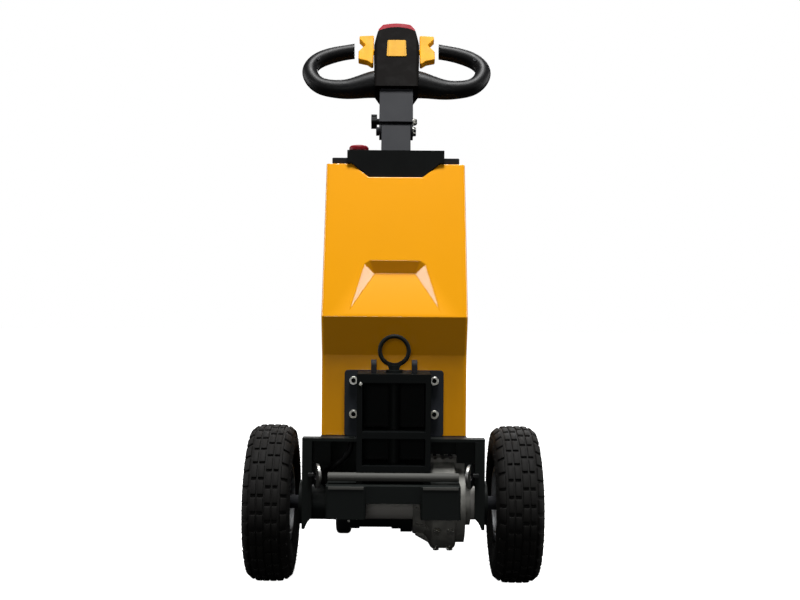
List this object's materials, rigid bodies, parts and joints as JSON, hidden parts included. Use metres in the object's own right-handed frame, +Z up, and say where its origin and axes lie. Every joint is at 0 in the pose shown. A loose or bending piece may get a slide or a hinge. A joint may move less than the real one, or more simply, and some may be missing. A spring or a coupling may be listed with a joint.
{
  "type": "pedestrian electric tow tug",
  "caption": "Walk-behind electric tow tug with two pneumatic drive wheels, rear swivel casters, a front pin coupling and a tilting tiller with loop grips.",
  "frame": {"origin": "on the floor, under the middle of the whole machine's box", "axes": "+Z up; the coupling and bumper face -Y, the tiller leans back towards +Y; +X is the operator's left hand"},
  "size_m": [0.556, 0.5994, 1.1546],
  "materials": {
    "yellow_paint": "semi-gloss powder coat",
    "black_paint": "satin powder coat",
    "grey_paint": "satin",
    "silver_paint": "satin",
    "tyre": "matt",
    "steel": "turned",
    "zinc": "zinc plated",
    "cast_alloy": "as cast",
    "black_plastic": "fine grain",
    "grip_rubber": "soft matt",
    "red_plastic": "gloss",
    "yellow_plastic": "satin",
    "label": "bare plate",
    "battery_case": "matt",
    "window": "gloss",
    "cable": "matt"
  },
  "bodies": {
    "chassis": {"deck_plate": "black_paint", "rear_tray": "black_paint", "battery_block": "battery_case", "front_cover": "yellow_paint", "rear_cover": "yellow_paint", "top_plate": "grey_paint", "console": "black_plastic", "emergency_stop": "red_plastic", "key_switch": "steel", "charge_gauge": "window", "hitch_plate": "black_paint", "hitch_bracket": "black_paint", "hitch_ears": "grey_paint", "front_bumper": "black_paint", "cross_bar": "grey_paint", "axle_tube": "grey_paint", "gear_case": "cast_alloy", "drive_motor": "black_paint", "motor_cable": "cable", "tiller_post": "grey_paint", "pivot_bolt": "zinc", "side_frame_left": "black_paint", "lashing_eye_left": "zinc", "caster_plate_left": "zinc", "side_frame_right": "black_paint", "lashing_eye_right": "zinc", "caster_plate_right": "zinc"},
    "drive_wheel_left": {"tyre_left": "tyre", "rim_left": "silver_paint", "hub_left": "steel"},
    "caster_swivel_left": {"caster_fork_left": "zinc"},
    "caster_roll_left": {"caster_wheel_left": "grip_rubber"},
    "drive_wheel_right": {"tyre_right": "tyre", "rim_right": "silver_paint", "hub_right": "steel"},
    "caster_swivel_right": {"caster_fork_right": "zinc"},
    "caster_roll_right": {"caster_wheel_right": "grip_rubber"},
    "pin": {"coupling_pin": "black_paint"},
    "tiller": {"tiller_sleeve": "grey_paint", "clamp_knob": "black_plastic", "tiller_head": "black_plastic", "safety_button": "red_plastic", "label_plate": "label", "throttle_left": "yellow_plastic", "throttle_right": "yellow_plastic", "grip_left": "grip_rubber", "grip_right": "grip_rubber"}
  },
  "joints": [
    {"name": "drive_wheel_left_spin", "type": "hinge", "parent": "chassis", "child": "drive_wheel_left", "pos_m": [0.234, -0.14981, 0.15], "axis": [1, 0, 0], "continuous": true},
    {"name": "caster_left_swivel", "type": "hinge", "parent": "chassis", "child": "caster_swivel_left", "pos_m": [0.114, 0.20219, 0.14], "axis": [0, 0, 1], "continuous": true},
    {"name": "caster_left_roll", "type": "hinge", "parent": "caster_swivel_left", "child": "caster_roll_left", "pos_m": [0.114, 0.23719, 0.0625], "axis": [1, 0, 0], "continuous": true},
    {"name": "drive_wheel_right_spin", "type": "hinge", "parent": "chassis", "child": "drive_wheel_right", "pos_m": [-0.234, -0.14981, 0.15], "axis": [1, 0, 0], "continuous": true},
    {"name": "caster_right_swivel", "type": "hinge", "parent": "chassis", "child": "caster_swivel_right", "pos_m": [-0.114, 0.20219, 0.14], "axis": [0, 0, 1], "continuous": true},
    {"name": "caster_right_roll", "type": "hinge", "parent": "caster_swivel_right", "child": "caster_roll_right", "pos_m": [-0.114, 0.23719, 0.0625], "axis": [1, 0, 0], "continuous": true},
    {"name": "tiller_tilt", "type": "hinge", "parent": "chassis", "child": "tiller", "pos_m": [0, -0.01418, 0.895], "axis": [1, 0, 0], "range_deg": [-35, 30]},
    {"name": "pin_lift", "type": "slide", "parent": "chassis", "child": "pin", "axis": [0, 0, 1], "range_m": [0, 0.17]}
  ]
}
